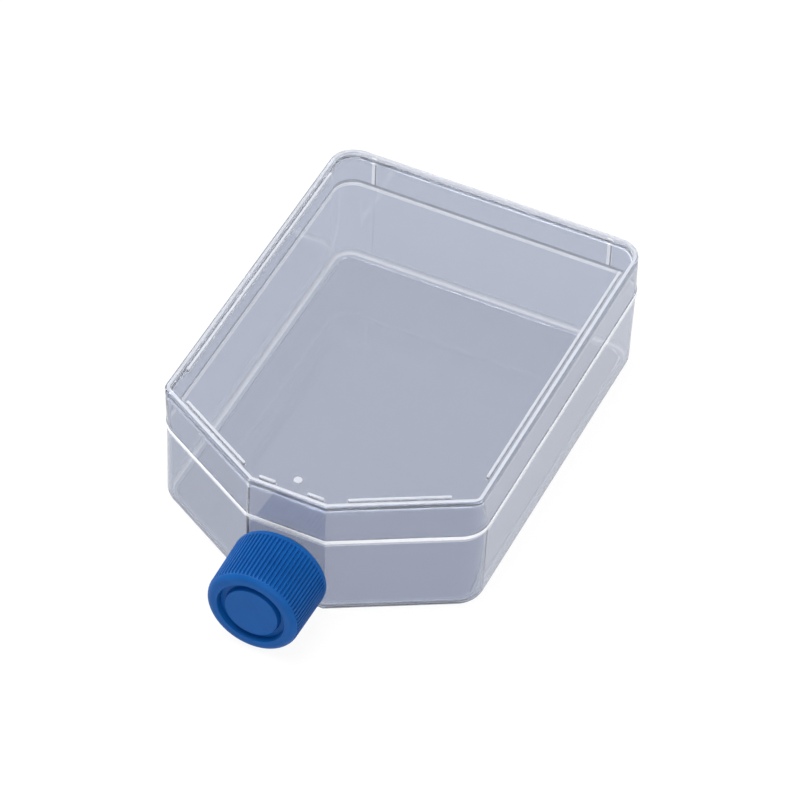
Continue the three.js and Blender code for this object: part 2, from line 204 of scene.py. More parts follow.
class Surface:
    """Faces with a stated normal at each corner, sharing vertices where they meet."""

    def __init__(self):
        self.places = {}
        self.points = []
        self.faces = []
        self.normals = []
        self.finishes = []
        self.finish = WALLS  # material slot of the faces that follow

    def vertex(self, p):
        key = tuple(round(value, MERGE_DIGITS) for value in p)
        if key not in self.places:
            self.places[key] = len(self.points)
            self.points.append(p)
        return self.places[key]

    def face(self, corners):
        """corners: (point, normal) pairs, counter-clockwise from outside."""
        found, kept = [], []
        for point, normal in corners:
            v = self.vertex(point)
            if v not in found:
                found.append(v)
                kept.append(normal)
        if len(found) > 2:
            self.faces.append(found)
            self.normals.extend(kept)
            self.finishes.append(self.finish)

    def build(self, name):
        mesh = bpy.data.meshes.new(name)
        scaled = [(x / METRE, (y - ORIGIN_Y) / METRE, z / METRE) for x, y, z in self.points]
        mesh.from_pydata(scaled, [], self.faces)
        mesh.shade_smooth()
        mesh.polygons.foreach_set("material_index", self.finishes)
        mesh.normals_split_custom_set([Vector(n).normalized() for n in self.normals])
        piece = bpy.data.objects.new(name, mesh)
        bpy.context.scene.collection.objects.link(piece)
        return piece


def neighbours(ring):
    """Each entry of a ring with the one after it."""
    return zip(ring, ring[1:] + ring[:1])


def smooth(x):
    x = min(1.0, max(0.0, x))
    return x * x * (3 - 2 * x)


# ------------------------------------------------------------------ profiles


class Knot(NamedTuple):
    """Corner of a profile. On the body, a is minus the inset and b the height. About the
    neck axis, a is the radius and b the distance along it."""

    a: float
    b: float
    normal: tuple = None
    arc: int = None  # which arc the knot is on


arc_numbers = count()


def arc(centre_a, centre_b, radius, start, end, steps):
    """Knots round an arc; angles in degrees. A rising angle is a convex edge."""
    number = next(arc_numbers)
    sign = 1 if end > start else -1
    knots = []
    for i in range(steps + 1):
        t = math.radians(start + (end - start) * i / steps)
        c, s = math.cos(t), math.sin(t)
        place = (centre_a + radius * c, centre_b + radius * s)
        knots.append(Knot(*place, (sign * c, sign * s), number))
    return knots


def rounded(p, q):
    return p.arc is not None and p.arc == q.arc


def run_normals(p, q):
    """Profile normals at the two ends of the run from knot p to knot q."""
    if rounded(p, q):
        return p.normal, q.normal
    da, db = q.a - p.a, q.b - p.b
    size = math.hypot(da, db)
    flat = (db / size, -da / size)
    return flat, flat


# ------------------------------------------------------------------ body outline

NECK_RADII = (NECK_CORNER_RADIUS, NECK_CORNER_RADIUS)  # up to the seam, at the rim
SIDE_RADII = (SIDE_CORNER_RADIUS, RIM_CORNER_RADIUS)
BACK_RADII = (BACK_CORNER_RADIUS, BACK_CORNER_RADIUS)
CORNERS = [  # x, y, radii, steps round the corner
    (-NECK_WALL_WIDTH / 2, -SHOULDER_DEPTH, NECK_RADII, NECK_CORNER_STEPS),
    (NECK_WALL_WIDTH / 2, -SHOULDER_DEPTH, NECK_RADII, NECK_CORNER_STEPS),
    (BODY_WIDTH / 2, 0.0, SIDE_RADII, SIDE_CORNER_STEPS),
    (BODY_WIDTH / 2, SIDE_LENGTH, BACK_RADII, BACK_CORNER_STEPS),
    (-BODY_WIDTH / 2, SIDE_LENGTH, BACK_RADII, BACK_CORNER_STEPS),
    (-BODY_WIDTH / 2, 0.0, SIDE_RADII, SIDE_CORNER_STEPS),
]
LEFT_NECK, RIGHT_NECK, RIGHT_FRONT, RIGHT_BACK, LEFT_BACK, LEFT_FRONT = range(6)


def corner(i):
    return Vector(CORNERS[i % len(CORNERS)][:2])


def outline(inset, z, rib=0.0):
    """Ring of (x, y, normal x, normal y); rib is how far the back ribs stand out."""
    ring = []
    rise = max(0.0, z - LOWER_HEIGHT) / UPPER_HEIGHT
    for i, (_, _, (low, high), steps) in enumerate(CORNERS):
        back = (corner(i - 1) - corner(i)).normalized()
        ahead = (corner(i + 1) - corner(i)).normalized()
        half = math.acos(back.dot(ahead)) / 2
        inward = (back + ahead).normalized()
        radius = max(low + (high - low) * rise - inset, MIN_CORNER_RADIUS)
        centre = corner(i) + inward * ((inset + radius) / math.sin(half))
        sweep = math.pi - 2 * half
        start = math.atan2(-inward.y, -inward.x) - sweep / 2
        for s in range(steps + 1):
            t = start + sweep * s / steps
            c, n = math.cos(t), math.sin(t)
            ring.append((centre.x + radius * c, centre.y + radius * n, c, n))
        if i == RIGHT_BACK:
            for x in (RIB_SPACING / 2, -RIB_SPACING / 2):
                ring.extend(rib_bump(x, SIDE_LENGTH - inset, rib))
    return ring


def rib_bump(x, y, reach):
    points = []
    for s in range(RIB_STEPS + 1):
        u = 1 - 2 * s / RIB_STEPS
        rise = reach * math.cos(math.pi * u / 2) ** 2
        slope = -reach * math.pi * math.sin(math.pi * u) / 2 / RIB_HALF_WIDTH
        n = Vector((-slope, 1)).normalized()
        points.append((x + u * RIB_HALF_WIDTH, y + rise, n.x, n.y))
    return points


def straight_after(i):
    """Column of the straight wall after corner i. Column c is from ring point c to c + 1."""
    ribs = 2 * (RIB_STEPS + 1) if i > RIGHT_BACK else 0
    return sum(steps + 1 for *_, steps in CORNERS[: i + 1]) - 1 + ribs


NECK_WALL = straight_after(LEFT_NECK)
SIDE_WALLS = (straight_after(RIGHT_FRONT), straight_after(LEFT_BACK))
RIB_START = straight_after(RIGHT_BACK) + 1
RIB_COLUMNS = [RIB_START + i for i in range(2 * RIB_STEPS + 1) if i != RIB_STEPS]
PAINTED_HIGHLIGHT_COLUMNS = [*RIB_COLUMNS, *range(NECK_WALL)]  # the ribs and the left neck corner, left untinted above the seam as painted highlight


def body_run(surface, p, q, ribs=(0.0, 0.0), hole=None):
    """Strip of the body between two knots, with the hole, if any, in the neck wall."""
    low, high = outline(-p.a, p.b, ribs[0]), outline(-q.a, q.b, ribs[1])
    (pa, pb), (qa, qb) = run_normals(p, q)
    finish = surface.finish
    in_highlight_band = abs(q.b - (BEAD_FOOT - HIGHLIGHT_BAND_TOP)) < TOLERANCE
    for i in range(len(low)):
        j = (i + 1) % len(low)
        # columns and band left untinted here are painted highlight
        painted_highlight = i in PAINTED_HIGHLIGHT_COLUMNS if p.b > LOWER_HEIGHT else in_highlight_band and i in SIDE_WALLS
        surface.finish = INSIDE_AND_HIGHLIGHTS if painted_highlight and finish == WALLS else finish
        corners = []
        for ring, k, z, (out, up) in (
            (low, i, p.b, (pa, pb)),
            (low, j, p.b, (pa, pb)),
            (high, j, q.b, (qa, qb)),
            (high, i, q.b, (qa, qb)),
        ):
            x, y, mx, my = ring[k]
            if not rounded(p, q):
                dx, dy = high[k][0] - low[k][0], high[k][1] - low[k][1]
                out, up = q.b - p.b, -(mx * dx + my * dy)
            corners.append(((x, y, z), (mx * out, my * out, up)))
        if hole is not None and i == NECK_WALL:
            pane_with_hole(surface, corners, hole)
        else:
            surface.face(corners)


def pane_with_hole(surface, corners, circle):
    """Flat pane round a hole: four corners, and the hole's points the same way round."""
    normal = corners[0][1]
    places = [Vector(place) for place, _ in corners]
    hub = sum((Vector(c) for c in circle), Vector()) / len(circle)
    axis_x = (places[1] - places[0]).normalized()
    axis_z = (places[3] - places[0]).normalized()

    def angle(p):
        d = Vector(p) - hub
        return math.atan2(d.dot(axis_z), d.dot(axis_x)) % TURN

    placed = sorted((angle(place), place) for place, _ in corners)
    ring = sorted((angle(c), c) for c in circle)

    def nearest(t):
        turns = [abs((a - t + math.pi) % TURN - math.pi) for a, _ in ring]
        return turns.index(min(turns))

    starts = [nearest(t) for t, _ in placed]

    def halfway(k):
        """Ring index halfway from the one nearest to corner k to that of the next."""
        ahead = starts[(k + 1) % len(starts)]
        return (starts[k] + ((ahead - starts[k]) % len(ring)) // 2) % len(ring)

    for k, (_, place) in enumerate(placed):
        i, last = halfway(k - 1), halfway(k)
        while i != last:
            ahead = (i + 1) % len(ring)
            surface.face([(place, normal), (ring[ahead][1], normal), (ring[i][1], normal)])
            i = ahead
        beside = placed[(k + 1) % len(placed)][1]
        surface.face([(place, normal), (beside, normal), (ring[last][1], normal)])


def flat_face(surface, edge, up):
    """Level face of the body inside the ring at a knot; up is 1 or -1."""
    points = [(x, y, edge.b) for x, y, _, _ in outline(-edge.a, edge.b)]
    if up < 0:
        points.reverse()
    surface.face([(p, (0, 0, up)) for p in points])


# ------------------------------------------------------------------ turned surfaces

NECK_COLUMNS = [TURN * i / NECK_STEPS for i in range(NECK_STEPS)]


def around(radius, along, t, wall_y):
    """A point about the neck axis, `along` outward from the plane y = wall_y."""
    return (radius * math.cos(t), wall_y - along, NECK_AXIS_HEIGHT + radius * math.sin(t))


def direction(out, along, t, swirl=0.0):
    c, s = math.cos(t), math.sin(t)
    return (out * c - swirl * s, -along, out * s + swirl * c)


def turned(surface, path, columns, wall_y, relief=None):
    """Surface that a path of knots makes about the neck axis. relief(t, along) gives the
    height added to the radius."""

    def place(k, n, t):
        radius, along = k.a, k.b
        if relief is None:
            return around(radius, along, t, wall_y), direction(*n, t)
        step = RELIEF_STEP
        slope = (relief(t, along + step) - relief(t, along - step)) / (2 * step)
        turn = (relief(t + step / radius, along) - relief(t - step / radius, along)) / (2 * step)
        point = around(radius + relief(t, along), along, t, wall_y)
        side = math.copysign(1.0, n[0]) if abs(n[0]) > RADIAL_SHARE else 0.0
        return point, direction(n[0], n[1] - side * slope, t, -side * turn)

    for p, q in pairwise(path):
        at_p, at_q = run_normals(p, q)
        for t, u in neighbours(columns):
            corners = ((p, at_p, t), (p, at_p, u), (q, at_q, u), (q, at_q, t))
            surface.face([place(*each) for each in corners])


def thread_relief(start, turns, sign):
    sweep = turns * TURN

    def relief(t, along):
        best = 0.0
        for n in range(-1, int(turns) + 2):
            phi = t + TURN * n
            if not 0 <= phi <= sweep:
                continue
            away = abs(along - start - PITCH * phi / TURN)
            rise = min(1.0, min(phi, sweep - phi) / RUNOUT)
            share = smooth((ROOT_HALF - away) / (ROOT_HALF - CREST_HALF))
            best = max(best, THREAD_HEIGHT * share * rise)
        return sign * best

    return relief


def rows(radius, start, end, step):
    steps = max(1, round(abs(end - start) / step))
    return [Knot(radius, start + (end - start) * i / steps) for i in range(steps + 1)]


# ------------------------------------------------------------------ clear body


def wall_knot(z):
    """Knot on the outside, where both shells draft inwards from the seam."""
    if z < LOWER_HEIGHT:
        inset = BASE_INSET + (BEAD_REACH - BASE_INSET) * z / LOWER_HEIGHT
    else:
        inset = BEAD_REACH + (RIM_INSET - BEAD_REACH) * (z - LOWER_HEIGHT) / UPPER_HEIGHT
    return Knot(-inset, z)


OUTSIDE_PATH = [  # from the middle of the underside to the middle of the roof
    Knot(-(FOOT_INSET + FOOT_WIDTH + FOOT_HEIGHT), FOOT_HEIGHT),
    Knot(-(FOOT_INSET + FOOT_WIDTH), 0),
    *arc(-FOOT_INSET, BASE_FILLET, BASE_FILLET, -90, 0, 10),
    wall_knot(BEAD_FOOT - HIGHLIGHT_BAND_BOTTOM),
    wall_knot(BEAD_FOOT - HIGHLIGHT_BAND_TOP),
    wall_knot(BEAD_FOOT),
    *arc(-BEAD_REACH, LOWER_HEIGHT - BEAD_HEIGHT, BEAD_REACH, -90, 0, 6)[1:],
    Knot(0, LOWER_HEIGHT - SEAM_HIGHLIGHT_BELOW),
    *arc(-BEAD_REACH, LOWER_HEIGHT + BEAD_HEIGHT, BEAD_REACH, 0, 90, 6)[:-1],
    wall_knot(BEAD_TOP),
    wall_knot(BODY_HEIGHT - RIB_FADE),
    wall_knot(BODY_HEIGHT - RIB_END),
    *arc(-RIM_INSET - RIM_EDGE, BODY_HEIGHT - RIM_EDGE, RIM_EDGE, 0, 90, 6),
    *arc(-RIM_IN + RIM_ROUND, BODY_HEIGHT - RIM_ROUND, RIM_ROUND, 90, 180, 5),
    *arc(-RIM_IN - RIM_ROUND, ROOF_TOP + RIM_ROUND, RIM_ROUND, 0, -90, 5),
]
TOP_INSET = WALL - wall_knot(CEILING).a
MIDDLE_INSET = BEAD_REACH + WALL
FLOOR_INSET = BASE_INSET + WALL
INSIDE_PATH = [  # from the middle of the ceiling to the middle of the floor
    *arc(-TOP_INSET - INNER_FILLET, CEILING - INNER_FILLET, INNER_FILLET, 90, 0, 8),
    Knot(-MIDDLE_INSET, LOWER_HEIGHT),
    *arc(-FLOOR_INSET - INNER_FILLET, FLOOR + INNER_FILLET, INNER_FILLET, 0, -90, 8),
]


def rib_reach(k):
    """How far the back ribs stand out at a knot of the outside."""
    z = k.b
    if -k.a > FOOT_INSET + TOLERANCE or z <= RIB_FOOT or z > BODY_HEIGHT - RIB_FADE + TOLERANCE:
        return 0.0
    reach = min(BEAD_REACH, -k.a)
    if z < LOWER_HEIGHT:
        reach *= LOWER_RIB_SHARE
    if z < BASE_FILLET:
        reach *= (z / BASE_FILLET) ** 2
    return reach


def outside_finish(p, q):
    low = min(p.b, q.b)
    above_seam = (p.b + q.b) / 2 - LOWER_HEIGHT
    # the white seam finish is a painted highlight line
    if -SEAM_HIGHLIGHT_BELOW < above_seam < SEAM_HIGHLIGHT_ABOVE:
        return SEAM_HIGHLIGHT
    # the bead's lower part is left untinted as a painted highlight seen from inside
    if -BEAD_HIGHLIGHT_BELOW < above_seam < 0:
        return BEAD_HIGHLIGHT
    # matt top of the rim, pale so that it paints the rim's highlight line
    if low > BODY_HEIGHT - MATT_HIGHLIGHT_DEPTH:
        return MATT_HIGHLIGHT
    # the rim's inner wall: frosted above and untinted below, both painted highlight
    behind_rim = max(p.a, q.a) < -RIM_IN + RIM_ROUND + RIM_SLACK
    if behind_rim and p.b > ROOF_TOP - RIM_SLACK:
        return FROSTED_HIGHLIGHT if low > BODY_HEIGHT - RIM_ROUND - RIM_SLACK else INSIDE_AND_HIGHLIGHTS
    # the untinted strip at the base's edge is a painted highlight
    return INSIDE_AND_HIGHLIGHTS if BASE_HIGHLIGHT_HEIGHTS[0] < q.b < BASE_HIGHLIGHT_HEIGHTS[1] else WALLS


def inside_finish(p, q):
    share = ((p.b + q.b) / 2 - FLOOR) / INNER_FILLET
    # a frosted strip of the inner floor fillet paints a highlight line
    return FROSTED_HIGHLIGHT if HIGHLIGHT_FILLET[0] < share < HIGHLIGHT_FILLET[1] else INSIDE_AND_HIGHLIGHTS


def wall_point(p, q, radius, t):
    """Point at a radius about the neck axis, on the neck wall from knot p to knot q."""
    z = NECK_AXIS_HEIGHT + radius * math.sin(t)
    share = (z - p.b) / (q.b - p.b)
    inset = -(p.a + (q.a - p.a) * share)
    return (radius * math.cos(t), -SHOULDER_DEPTH + inset, z)


def clear_body():
    s = Surface()
    for p, q in pairwise(OUTSIDE_PATH):
        hole = None
        if abs(p.b - BASE_FILLET) < TOLERANCE:
            outer_wall = (p, q)
            hole = [wall_point(p, q, NECK_ROOT, t) for t in NECK_COLUMNS]
        s.finish = outside_finish(p, q)
        body_run(s, p, q, (rib_reach(p), rib_reach(q)), hole)
    s.finish = FLOOR_PANE
    flat_face(s, OUTSIDE_PATH[0], -1)
    s.finish = ROOF_PANE
    roof(s, OUTSIDE_PATH[-1])

    for p, q in pairwise(INSIDE_PATH):
        hole = None
        if p.b == LOWER_HEIGHT:
            inner_wall = (p, q)
            hole = [wall_point(p, q, MOUTH_RADIUS, t) for t in NECK_COLUMNS]
        s.finish = inside_finish(p, q)
        body_run(s, p, q, hole=hole)
    s.finish = INSIDE_AND_HIGHLIGHTS
    flat_face(s, INSIDE_PATH[0], -1)
    flat_face(s, INSIDE_PATH[-1], 1)

    neck_tube(s, outer_wall, inner_wall)
    return s.build("flask_body")


def neck_tube(s, outer_wall, inner_wall):
    """Neck from its root on the wall, round the lip and back to the mouth in the wall."""

    def at(k, normal, t):
        return around(k.a, k.b, t, NECK_WALL_Y), direction(*normal, t)

    s.finish = WALLS
    _, first, *fillet = arc(NECK_ROOT, ROOT_FILLET, ROOT_FILLET, -90, -180, 8)
    for t, u in neighbours(NECK_COLUMNS):
        s.face([
            (wall_point(*outer_wall, NECK_ROOT, t), direction(0, 1, t)),
            (wall_point(*outer_wall, NECK_ROOT, u), direction(0, 1, u)),
            at(first, first.normal, u),
            at(first, first.normal, t),
        ])
    low = NECK_THREAD_START - THREAD_MARGIN
    high = NECK_THREAD_START + NECK_TURNS * PITCH + THREAD_MARGIN
    turned(s, [first, *fillet, Knot(NECK_RADIUS, low)], NECK_COLUMNS, NECK_WALL_Y)
    relief = thread_relief(NECK_THREAD_START, NECK_TURNS, 1)
    turned(s, rows(NECK_RADIUS, low, high, NECK_ROW), NECK_COLUMNS, NECK_WALL_Y, relief)
    lip = [
        Knot(NECK_RADIUS, high),
        *arc(NECK_RADIUS - LIP_EDGE, NECK_LENGTH - LIP_EDGE, LIP_EDGE, 0, 90, 5),
        *arc(BORE_RADIUS + LIP_ROUND, NECK_LENGTH - LIP_ROUND, LIP_ROUND, 90, 180, 5),
        Knot(BORE_RADIUS, -MOUTH_DEPTH + MOUTH_FLARE),
    ]
    s.finish = INSIDE_AND_HIGHLIGHTS
    turned(s, lip, NECK_COLUMNS, NECK_WALL_Y)
    for t, u in neighbours(NECK_COLUMNS):
        s.face([
            at(lip[-1], MOUTH_NORMAL, t),
            at(lip[-1], MOUTH_NORMAL, u),
            (wall_point(*inner_wall, MOUTH_RADIUS, u), direction(*MOUTH_NORMAL, u)),
            (wall_point(*inner_wall, MOUTH_RADIUS, t), direction(*MOUTH_NORMAL, t)),
        ])


# ------------------------------------------------------------------ roof

NECK_BAR_SETBACK = 1.7
NECK_BAR_LENGTH = 4.2
SHOULDER_BAR_NECK_SETBACK = 5.2
SHOULDER_BAR_SIDE_SETBACK = 6.9
SIDE_BAR_FRONT_SETBACK = 8.2
SIDE_BAR_BACK_SETBACK = 11.5
NECK_BAR_REST = NECK_WALL_WIDTH - (NECK_BAR_SETBACK + NECK_BAR_LENGTH)
BARS = [  # the corner that each bar follows, its setbacks from that corner and the next
    (LEFT_NECK, NECK_BAR_SETBACK, NECK_BAR_REST),
    (LEFT_NECK, NECK_BAR_REST, NECK_BAR_SETBACK),
    (RIGHT_NECK, SHOULDER_BAR_NECK_SETBACK, SHOULDER_BAR_SIDE_SETBACK),
    (RIGHT_FRONT, SIDE_BAR_FRONT_SETBACK, SIDE_BAR_BACK_SETBACK),
    (LEFT_BACK, SIDE_BAR_BACK_SETBACK, SIDE_BAR_FRONT_SETBACK),
    (LEFT_FRONT, SHOULDER_BAR_SIDE_SETBACK, SHOULDER_BAR_NECK_SETBACK),
]


def bar_ring(bar, radius):
    """Outline of a bar, with half-round ends: (x, y, normal x, normal y)."""
    wall, from_setback, to_setback = bar
    start = corner(wall)
    along = corner(wall + 1) - start
    length = along.length
    along.normalize()
    inward = Vector((-along.y, along.x))
    points = []
    base = math.atan2(along.y, along.x)
    for distance, turn in (
        (length - to_setback - BAR_WIDTH / 2, -math.pi / 2),
        (from_setback + BAR_WIDTH / 2, math.pi / 2),
    ):
        centre = start + along * distance + inward * BAR_INSET
        for i in range(BAR_END_STEPS + 1):
            t = base + turn + math.pi * i / BAR_END_STEPS
            c, n = math.cos(t), math.sin(t)
            points.append((centre.x + radius * c, centre.y + radius * n, c, n))
    return points


def gate_ring(radius):
    ring = []
    for i in range(GATE_STEPS):
        t = TURN * i / GATE_STEPS
        c, n = math.cos(t), math.sin(t)
        ring.append((radius * c, GATE_SETBACK - SHOULDER_DEPTH + radius * n, c, n))
    return ring


def roof(s, edge):
    """Roof between the rim, the bars of the inner rail and the gate stub."""
    raised = [
        (lambda radius, bar=bar: bar_ring(bar, radius), BAR_WIDTH / 2, RIM_HEIGHT, BAR_ROUND)
        for bar in BARS
    ]
    raised.append((gate_ring, GATE_RADIUS, GATE_HEIGHT, GATE_ROUND))
    loops = [[Vector((x, y, ROOF_TOP)) for x, y, _, _ in outline(-edge.a, ROOF_TOP)]]
    for ring_of, half, _, edge_round in raised:
        foot = ring_of(half + edge_round)
        loops.append([Vector((x, y, ROOF_TOP)) for x, y, _, _ in reversed(foot)])
    flat = [p for loop in loops for p in loop]
    for tri in tessellate_polygon(loops):
        corners = [flat[i] for i in tri]
        turn = (corners[1] - corners[0]).cross(corners[2] - corners[0]).z
        if turn < 0:
            corners.reverse()
        s.face([(tuple(p), (0, 0, 1)) for p in corners])

    for ring_of, half, height, edge_round in raised:
        shoulder = ROOF_TOP + height - edge_round
        path = [
            *arc(half + edge_round, ROOF_TOP + edge_round, edge_round, -90, -180, 4),
            *arc(half - edge_round, shoulder, edge_round, 0, 90, 4),
        ]
        for p, q in pairwise(path):
            (pa, pb), (qa, qb) = run_normals(p, q)
            # pale matt tops paint the highlight lines of the bars and gate; their sides are
            # untinted
            s.finish = MATT_HIGHLIGHT if q.b > shoulder else INSIDE_AND_HIGHLIGHTS
            low = [((x, y, p.b), (nx * pa, ny * pa, pb)) for x, y, nx, ny in ring_of(p.a)]
            high = [((x, y, q.b), (nx * qa, ny * qa, qb)) for x, y, nx, ny in ring_of(q.a)]
            for (a, b), (c, d) in zip(neighbours(low), neighbours(high)):
                s.face([a, b, d, c])
        s.face([((x, y, path[-1].b), (0, 0, 1)) for x, y, _, _ in ring_of(path[-1].a)])


# ------------------------------------------------------------------ screw cap

# shares of the space from rib to rib at which the skirt is divided
FINE_SHARES = (0.0, 0.1, 0.2, 0.27, 0.34, 0.5, 0.66, 0.73, 0.8, 0.9)
COARSE_SHARES = (0.0, 0.5)


def rib_columns(shares):
    return [TURN * (rib + share) / CAP_RIBS for rib in range(CAP_RIBS) for share in shares]


FINE = rib_columns(FINE_SHARES)
COARSE = rib_columns(COARSE_SHARES)


def rib_relief(t, along):
    share = (t * CAP_RIBS / TURN) % 1.0
    share = min(share, 1 - share)
    valley = smooth((share - CAP_RIB_HALF) / CAP_RIB_FLANK)
    low = smooth((along - CAP_RIM) / CAP_RIB_FADE)
    high = smooth((CAP_LENGTH - CAP_BAND - along) / CAP_RIB_FADE)
    past = min(CAP_EDGE, max(0.0, along - CAP_LENGTH + CAP_EDGE))
    drop = CAP_EDGE - math.sqrt(CAP_EDGE**2 - past**2)
    return -max(0.0, CAP_RIB_DEPTH - drop) * valley * low * high


def stitched(surface, p, q, coarse_first):
    """Flat ring of the cap between a coarse circle and a finely divided one."""
    coarse, fine = (p, q) if coarse_first else (q, p)
    normal, _ = run_normals(p, q)

    def at(k, t):
        return around(k.a, k.b, t, CAP_Y), direction(*normal, t)

    for t, u in neighbours(COARSE):
        end = u if u > t else u + TURN
        between = [v for v in FINE if t - TOLERANCE <= v <= end + TOLERANCE]
        if u < t:
            between.append(FINE[0])
        rim = [at(fine, v) for v in between]
        a, b = at(coarse, t), at(coarse, u)
        surface.face([a, b, *reversed(rim)] if coarse_first else [b, a, *rim])


def crest(z):
    return CAP_RADIUS - CAP_TAPER * z / (CAP_LENGTH - CAP_EDGE)


def screw_cap():
    s = Surface()
    low = CAP_THREAD_START - THREAD_MARGIN
    high = CAP_THREAD_START + CAP_TURNS * PITCH + THREAD_MARGIN
    plug_tip = CAP_DEPTH - PLUG_LENGTH
    plug_in = PLUG_RADIUS - PLUG_WALL
    inside = [
        Knot(plug_in, CAP_DEPTH),
        *arc(plug_in + CAP_ROUND, plug_tip + CAP_ROUND, CAP_ROUND, 180, 270, 4),
        *arc(PLUG_RADIUS - PLUG_ROUND, plug_tip + PLUG_ROUND, PLUG_ROUND, 270, 360, 5),
        Knot(PLUG_RADIUS, CAP_DEPTH),
        Knot(CAP_BORE, CAP_DEPTH),
        Knot(CAP_BORE, high),
    ]
    s.face([(around(plug_in, CAP_DEPTH, t, CAP_Y), direction(0, -1, t)) for t in COARSE])
    turned(s, inside, COARSE, CAP_Y)
    relief = thread_relief(CAP_THREAD_START, CAP_TURNS, -1)
    turned(s, rows(CAP_BORE, high, low, CAP_ROW), COARSE, CAP_Y, relief)
    mouth = [
        Knot(CAP_BORE, low),
        Knot(CAP_BORE, CAP_LEAD),
        Knot(CAP_BORE + CAP_LEAD, 0),
    ]
    turned(s, mouth, COARSE, CAP_Y)

    steps = CAP_RIB_FADE_STEPS
    fade = [CAP_RIM + CAP_RIB_FADE * i / steps for i in range(steps + 1)]
    side = [
        *arc(CAP_RADIUS - CAP_ROUND, CAP_ROUND, CAP_ROUND, -90, 0, 4),
        *(Knot(crest(z), z) for z in fade),
        Knot(CAP_END_RADIUS, CAP_LENGTH - CAP_EDGE),
    ]
    stitched(s, mouth[-1], side[0], coarse_first=True)
    turned(s, side, FINE, CAP_Y, rib_relief)
    edge = arc(CAP_END_RADIUS - CAP_EDGE, CAP_LENGTH - CAP_EDGE, CAP_EDGE, 0, 90, 24)
    turned(s, edge, FINE, CAP_Y, rib_relief)
    groove_end = CAP_LENGTH - GROOVE_DEPTH
    disc_edge = CAP_LENGTH - DISC_RECESS - CAP_ROUND
    end_face = [
        *arc(GROOVE_OUTER + CAP_ROUND, CAP_LENGTH - CAP_ROUND, CAP_ROUND, 90, 180, 5),
        Knot(GROOVE_OUTER - GROOVE_SLOPE, groove_end),
        Knot(GROOVE_INNER + GROOVE_SLOPE, groove_end),
        *arc(GROOVE_INNER - CAP_ROUND, disc_edge, CAP_ROUND, 0, 90, 5),
    ]
    stitched(s, edge[-1], end_face[0], coarse_first=False)
    turned(s, end_face, COARSE, CAP_Y)
    disc = end_face[-1]
    s.face([(around(disc.a, disc.b, t, CAP_Y), direction(0, 1, t)) for t in COARSE])
    return s.build("ribbed_cap")


# ------------------------------------------------------------------ materials

POLYSTYRENE_IOR = 1.59
POLYETHYLENE_IOR = 1.5
CLEAR_TRANSMISSION = 0.95
POLISH = 0.02
NO_TINT = (0.97, 0.98, 1.0)
CAP_BLUE = (0.004, 0.084, 0.31)
CAP_BLUES = ((0.3, (0.0035, 0.076, 0.285, 1)), (0.7, (0.0045, 0.09, 0.33, 1)))


def material(name, color, roughness, ior):
    m = bpy.data.materials.new(name)
    m.use_nodes = True
    shader = m.node_tree.nodes["Principled BSDF"]
    shader.inputs["Base Color"].default_value = (*color, 1)
    shader.inputs["Roughness"].default_value = roughness
    shader.inputs["IOR"].default_value = ior
    return m, m.node_tree, shader


def noise(tree, scale, detail, distortion=0.0):
    coords = tree.nodes.new("ShaderNodeTexCoord")
    tex = tree.nodes.new("ShaderNodeTexNoise")
    tex.inputs["Scale"].default_value = scale
    tex.inputs["Detail"].default_value = detail
    tex.inputs["Distortion"].default_value = distortion
    tree.links.new(coords.outputs["Object"], tex.inputs["Vector"])
    return tex.outputs["Fac"]


def bump(tree, shader, height, strength, distance):
    node = tree.nodes.new("ShaderNodeBump")
    node.inputs["Strength"].default_value = strength
    node.inputs["Distance"].default_value = distance
    tree.links.new(height, node.inputs["Height"])
    tree.links.new(node.outputs["Normal"], shader.inputs["Normal"])


def hazy_plastic(name, color, roughness, transmission):
    m, _, shader = material(name, color, roughness, POLYSTYRENE_IOR)
    shader.inputs["Transmission Weight"].default_value = transmission
    return m


def clear_plastic(name, tint, roughness=POLISH):
    m, tree, shader = material(name, tint, roughness, POLYSTYRENE_IOR)
    shader.inputs["Transmission Weight"].default_value = CLEAR_TRANSMISSION
    waves = noise(tree, scale=60.0, detail=1.0, distortion=0.4)
    bump(tree, shader, waves, strength=0.05, distance=0.0002)
    return m


def blue_plastic():
    m, tree, shader = material("blue_polyethylene", CAP_BLUE, roughness=0.42, ior=POLYETHYLENE_IOR)
    shader.inputs["Specular IOR Level"].default_value = 0.12
    ramp = tree.nodes.new("ShaderNodeValToRGB")
    for stop, (position, color) in zip(ramp.color_ramp.elements, CAP_BLUES):
        stop.position = position
        stop.color = color
    tree.links.new(noise(tree, scale=180.0, detail=3.0), ramp.inputs["Fac"])
    tree.links.new(ramp.outputs["Color"], shader.inputs["Base Color"])
    grain = noise(tree, scale=2600.0, detail=2.0)
    bump(tree, shader, grain, strength=0.12, distance=0.00004)
    return m


